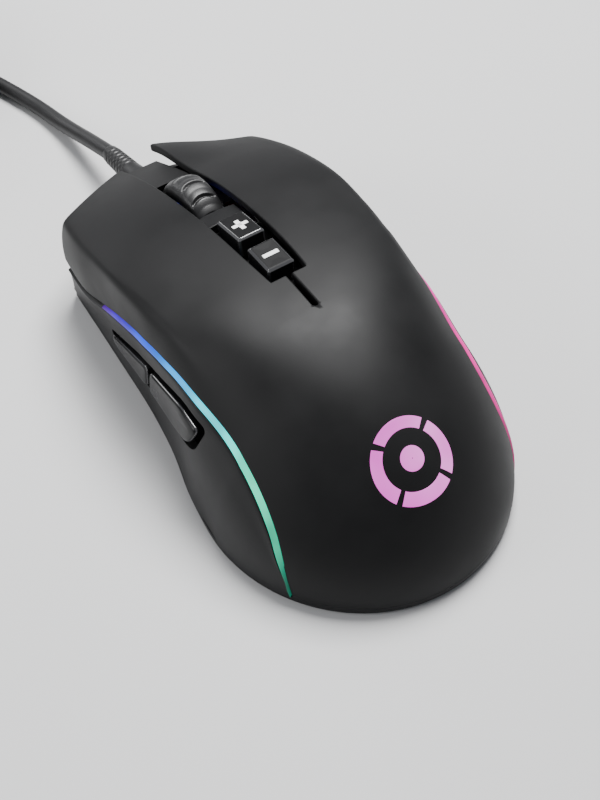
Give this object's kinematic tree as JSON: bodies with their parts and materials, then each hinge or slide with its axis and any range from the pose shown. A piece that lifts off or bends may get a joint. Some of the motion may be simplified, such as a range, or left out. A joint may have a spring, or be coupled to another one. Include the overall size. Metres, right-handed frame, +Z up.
{
  "type": "computer mouse",
  "caption": "Wired right-handed computer mouse with ribbed scroll wheel, plus and minus keys, thumb buttons, side light strips and a coiled cable.",
  "frame": {"origin": "on the table under the middle of the mouse's own length and width", "axes": "+Y forward along the cable, +X to the user's right, +Z up"},
  "size_m": [0.104, 0.2298, 0.0405],
  "materials": {
    "soft_touch_black": "matte, soft touch",
    "side_black": "satin, fine texture",
    "gloss_black": "polished",
    "key_black": "satin",
    "tyre_rubber": "matte, ribbed",
    "hub_black": "satin",
    "axle_steel": "brushed",
    "mark_white": "matte",
    "strip_light_left": "translucent, lit",
    "strip_light_right": "translucent, lit",
    "emblem_light": "translucent, lit",
    "glow_blue": "translucent, lit",
    "clear_guide": "clear",
    "board_green": "coated",
    "switch_white": "matte",
    "plunger_red": "matte",
    "component_black": "matte",
    "spring_steel": "drawn wire",
    "screw_steel": "zinc plated",
    "glide_black": "slick, low friction",
    "cord_black": "satin jacket",
    "plug_steel": "nickel plated",
    "plug_tongue_black": "matte"
  },
  "bodies": {
    "root": {"palm_cover": "soft_touch_black", "emblem_lens": "emblem_light", "emblem_light_guide": "clear_guide", "left_light_strip": "strip_light_left", "right_light_strip": "strip_light_right", "left_side_panel": "side_black", "right_side_panel": "side_black", "left_switch": "switch_white", "right_switch": "switch_white", "thumb_bezel": "side_black", "forward_thumb_switch": "switch_white", "back_thumb_switch": "switch_white", "side_board": "board_green", "nose_frame": "side_black", "bridge_plate": "side_black", "key_frame": "side_black", "key_board": "board_green", "key_board_legs": "component_black", "plus_key_switch": "component_black", "minus_key_switch": "component_black", "middle_switch": "component_black", "base_plate": "side_black", "front_glide": "glide_black", "rear_glide": "glide_black", "sensor_glide": "glide_black", "main_board": "board_green", "board_screws": "screw_steel", "cover_screws": "screw_steel", "sensor_chip": "component_black", "sensor_lens": "clear_guide", "cable_connector": "switch_white", "wheel_springs": "spring_steel", "strain_relief": "cord_black", "cord": "cord_black", "cord_coil": "cord_black", "cord_tail": "cord_black", "plug_body": "cord_black", "plug_shell": "plug_steel", "plug_tongue": "plug_tongue_black"},
    "left_main_button": {"left_button": "soft_touch_black", "left_plunger": "plunger_red"},
    "right_main_button": {"right_button": "soft_touch_black", "right_plunger": "plunger_red"},
    "plus_key": {"plus_key": "key_black", "plus_key_mark": "mark_white"},
    "minus_key": {"minus_key": "key_black", "minus_key_mark": "mark_white"},
    "forward_thumb": {"forward_thumb_button": "gloss_black"},
    "back_thumb": {"back_thumb_button": "gloss_black"},
    "wheel_cradle": {"wheel_carrier": "component_black", "wheel_encoder": "component_black", "middle_plunger": "plunger_red"},
    "scroll_wheel": {"wheel_tyre": "tyre_rubber", "wheel_hub": "hub_black", "wheel_axle": "axle_steel", "left_wheel_glow_ring": "glow_blue", "right_wheel_glow_ring": "glow_blue"}
  },
  "joints": [
    {"name": "left_click", "type": "hinge", "parent": "root", "child": "left_main_button", "pos_m": [0, -0.012, 0.0392], "axis": [-1, 0, 0], "range_deg": [0, 0.7], "stiffness_Nm_per_rad": 2.8},
    {"name": "right_click", "type": "hinge", "parent": "root", "child": "right_main_button", "pos_m": [0, -0.012, 0.0392], "axis": [-1, 0, 0], "range_deg": [0, 0.7], "stiffness_Nm_per_rad": 2.8},
    {"name": "plus_press", "type": "slide", "parent": "root", "child": "plus_key", "axis": [0, 0, -1], "range_m": [0, 0.0008], "stiffness_N_per_m": 1200},
    {"name": "minus_press", "type": "slide", "parent": "root", "child": "minus_key", "axis": [0, 0, -1], "range_m": [0, 0.0008], "stiffness_N_per_m": 1200},
    {"name": "forward_press", "type": "slide", "parent": "root", "child": "forward_thumb", "axis": [1, 0, 0], "range_m": [0, 0.0005], "stiffness_N_per_m": 1600},
    {"name": "back_press", "type": "slide", "parent": "root", "child": "back_thumb", "axis": [1, 0, 0], "range_m": [0, 0.0005], "stiffness_N_per_m": 1600},
    {"name": "middle_click", "type": "slide", "parent": "root", "child": "wheel_cradle", "axis": [0, 0, -1], "range_m": [0, 0.0005], "stiffness_N_per_m": 2500},
    {"name": "wheel_spin", "type": "hinge", "parent": "wheel_cradle", "child": "scroll_wheel", "pos_m": [0, 0.035, 0.0232], "axis": [1, 0, 0], "continuous": true}
  ]
}
